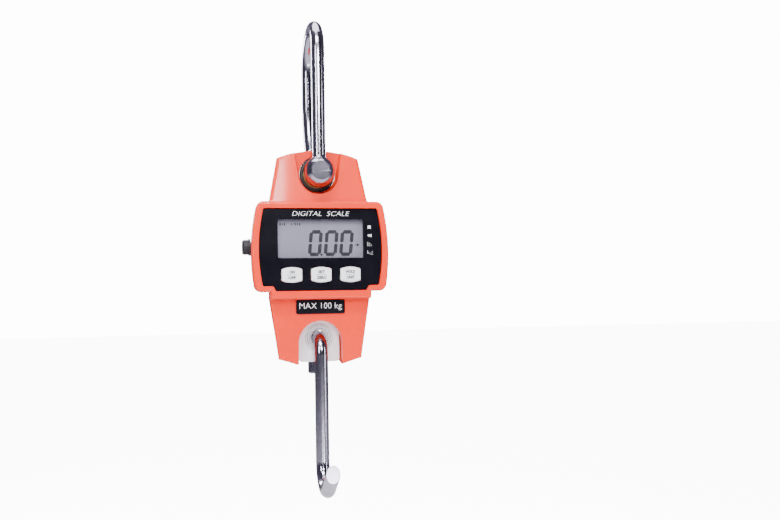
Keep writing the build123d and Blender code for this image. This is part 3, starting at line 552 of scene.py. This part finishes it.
UNIT_X = 28.7 * MM
BLOCK_Z, ARROW_Z, POUND_Z, KILO_Z = -118.2 * MM, -123.1 * MM, -128.2 * MM, -133.2 * MM
UNIT_SWELL = -0.3 * MM
unit_marks = [
    prism(4, 1.25 * MM, (UNIT_X, FILM_Y, BLOCK_Z), turn=SQUARE_ON),
    prism(3, 1.0 * MM, (UNIT_X - 0.5 * MM, FILM_Y, ARROW_Z), turn=math.pi / 2),
    prism(4, 0.35 * MM, (UNIT_X + 1.0 * MM, FILM_Y, ARROW_Z), turn=SQUARE_ON, stretch=(1, 3.2)),
    lettering("lb", (UNIT_X, FILM_Y, POUND_Z), 2.5 * MM, 2.3 * MM, swell=UNIT_SWELL),
    lettering("kg", (UNIT_X + 0.4 * MM, FILM_Y, KILO_Z), 3.4 * MM, 2.8 * MM, swell=UNIT_SWELL),
]
dress(join("panel_unit_marks", unit_marks), PRINT_WHITE, "housing")

KEY_Z = -145.7 * MM
KEY_PITCH = 17.1 * MM
WORD_LIFT = 1.65 * MM
WORD_H = 1.8 * MM
WORD_SWELL = 0.5 * MM
# key, upper word, lower word, and the width of each
KEY_WORDS = (("on_off_key", "ON", "OFF", 3.0, 4.4), ("zero_key", "SET", "ZERO", 3.9, 5.6),
             ("hold_key", "HOLD", "UNIT", 5.4, 4.7))
for step, (key, above, below, above_w, below_w) in enumerate(KEY_WORDS, start=-1):
    key_x = step * KEY_PITCH
    key_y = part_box(key)[0].y - PRINT_LIFT
    legend = [
        lettering(above, (key_x, key_y, KEY_Z + WORD_LIFT), above_w * MM, WORD_H, swell=WORD_SWELL),
        lettering(below, (key_x, key_y, KEY_Z - WORD_LIFT), below_w * MM, WORD_H, swell=WORD_SWELL),
        prism(4, 0.16 * MM, (key_x, key_y, KEY_Z), turn=SQUARE_ON, stretch=(26, 1)),
    ]
    dress(join(key + "_legend", legend), PRINT_GREY, key + "_cap")

PLATE_LOW, PLATE_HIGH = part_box("capacity_plate")
PLATE_TILT = 0.0505              # radians, as the sloped face it sits on
HALF_PLATE = 0.25 * MM
plate_centre = (PLATE_LOW + PLATE_HIGH) / 2
plate_face = plate_centre.y - HALF_PLATE - PRINT_LIFT
capacity = lettering("MAX 100 kg", (0, plate_face, plate_centre.z + 0.1 * MM), 25.0 * MM, 4.6 * MM,
                     tilt=PLATE_TILT)
capacity.name = "capacity_lettering"
dress(capacity, PRINT_WHITE, "housing")


# ------------------------------------------------------------ sealing ring behind the hook's ball: black rubber, put there as painted shade in the gap round the ball

CELL_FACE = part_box("load_cell")[0].y
PIN_TOP_Z = -86.0 * MM
SEAL_RADIUS = 9.3 * MM
SEAL_CORD = 1.05 * MM            # radius of the ring's own section
SEAL_PRESSED = 0.8               # how much of its depth is left when pressed on the face
# painted shade: this black ring darkens the gap round the ball, where there is shade
clear_selection()
bpy.ops.mesh.primitive_torus_add(major_segments=72, minor_segments=16, major_radius=SEAL_RADIUS,
                                 minor_radius=SEAL_CORD, location=ORIGIN, rotation=(math.pi / 2, 0, 0))
shade_seal = bpy.context.object
bpy.ops.object.transform_apply(location=False, rotation=True, scale=False)
shade_seal.scale = (1, SEAL_PRESSED, 1)
settle(shade_seal)
move_to(shade_seal, (0, CELL_FACE - SEAL_CORD * SEAL_PRESSED, PIN_TOP_Z))
shade_seal.name = "hook_seal_shade_ring"
bpy.ops.object.shade_smooth()
dress(shade_seal, RUBBER, "housing")


# ------------------------------------------------------------ battery door arrow

DOOR_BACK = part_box("battery_door")[1].y
DOOR_ARROW_Z = -128.0 * MM
arrow = prism(3, 2.6 * MM, (0, DOOR_BACK - 0.05 * MM, DOOR_ARROW_Z), turn=math.pi,
              depth=0.4 * MM, bevel=0.12 * MM)
arrow.name = "door_arrow"
dress(arrow, ORANGE, "door")


# ------------------------------------------------------------ floor, light and camera

FLOOR_Z = -0.62
FLOOR_GLOW = 11.0                # both are only for the camera, and light nothing
SWEEP_GLOW = 14.0

clear_selection()
bpy.ops.mesh.primitive_plane_add(size=14.0, location=(0, 0, FLOOR_Z))
floor = bpy.context.object
floor.name = "floor"
floor_paint = bpy.data.materials.new("pale_floor")
floor_paint.use_nodes = True
floor_tree = floor_paint.node_tree
floor_shader = floor_tree.nodes["Principled BSDF"]
floor_shader.inputs["Base Color"].default_value = (0.80, 0.80, 0.82, 1)
floor_shader.inputs["Roughness"].default_value = 0.9
floor_shader.inputs["Emission Color"].default_value = (1.0, 1.0, 1.0, 1)
seen = floor_tree.nodes.new("ShaderNodeLightPath")
floor_tree.links.new(math_node(floor_tree, "MULTIPLY", seen.outputs["Is Camera Ray"], FLOOR_GLOW),
                     floor_shader.inputs["Emission Strength"])
floor.data.materials.append(floor_paint)


def studio_world():
    """A pale sweep for the camera only. What the metal reflects is a dim room with the softboxes in it."""
    world = bpy.data.worlds.new("studio")
    world.use_nodes = True
    tree = world.node_tree
    background = tree.nodes["Background"]
    coordinate = tree.nodes.new("ShaderNodeTexCoord")
    parts = tree.nodes.new("ShaderNodeSeparateXYZ")
    tree.links.new(coordinate.outputs["Generated"], parts.inputs[0])
    away = remap(tree, parts.outputs["Y"], -0.75, 0.85)
    room = mix_colour(tree, away, (0.012, 0.010, 0.020, 1), (0.22, 0.205, 0.28, 1))
    seen_by_camera = tree.nodes.new("ShaderNodeLightPath")
    pale = (SWEEP_GLOW, SWEEP_GLOW, SWEEP_GLOW, 1)
    sweep = mix_colour(tree, seen_by_camera.outputs["Is Camera Ray"], room, pale)
    tree.links.new(sweep, background.inputs["Color"])
    background.inputs["Strength"].default_value = 1.0
    bpy.context.scene.world = world


def softbox(name, place, target, width, height, power):
    """A rectangular lamp at its place, turned to face the target. Its power is in watts."""
    clear_selection()
    bpy.ops.object.light_add(type="AREA", location=place)
    lamp = bpy.context.object
    lamp.name = name
    lamp.data.shape = "RECTANGLE"
    lamp.data.size = width
    lamp.data.size_y = height
    lamp.data.energy = power
    lamp.rotation_euler = (Vector(target) - Vector(place)).to_track_quat("-Z", "Y").to_euler()


studio_world()
MIDDLE = (0, 0, -0.14)
softbox("key_left", (-0.72, -0.80, 0.20), MIDDLE, 0.11, 0.60, 7.0)
softbox("fill_right", (0.95, -0.62, -0.10), MIDDLE, 0.10, 0.80, 3.5)
softbox("high_front", (-0.01, -1.00, 0.31), (0, 0, -0.10), 0.20, 0.22, 9.0)
softbox("tall_front", (-0.30, -0.95, 1.20), MIDDLE, 0.80, 0.50, 37.0)
softbox("low_front", (0.12, -1.00, -0.56), MIDDLE, 0.70, 0.12, 4.5)
softbox("back_left", (-0.70, 0.95, 0.30), MIDDLE, 0.30, 0.60, 16.0)
softbox("back_right", (0.80, 0.90, 0.10), MIDDLE, 0.16, 0.60, 10.0)
softbox("top_soft", (-0.05, 0.10, 0.70), MIDDLE, 0.60, 0.60, 7.0)

CAMERA_PLACE = (-0.0605, -0.4045, -0.1545)
CAMERA_YAW = math.radians(8.5)
CAMERA_ROLL = math.radians(0.8)

camera_data = bpy.data.cameras.new("camera")
camera_data.sensor_width = 36.0
camera_data.lens = 30.9
camera_data.shift_x = 0.09526
camera_data.shift_y = 0.03846
camera_data.clip_start = 0.01
camera = bpy.data.objects.new("camera", camera_data)
bpy.context.collection.objects.link(camera)
camera.location = CAMERA_PLACE
camera.rotation_euler = (math.pi / 2, CAMERA_ROLL, -CAMERA_YAW)
bpy.context.scene.camera = camera
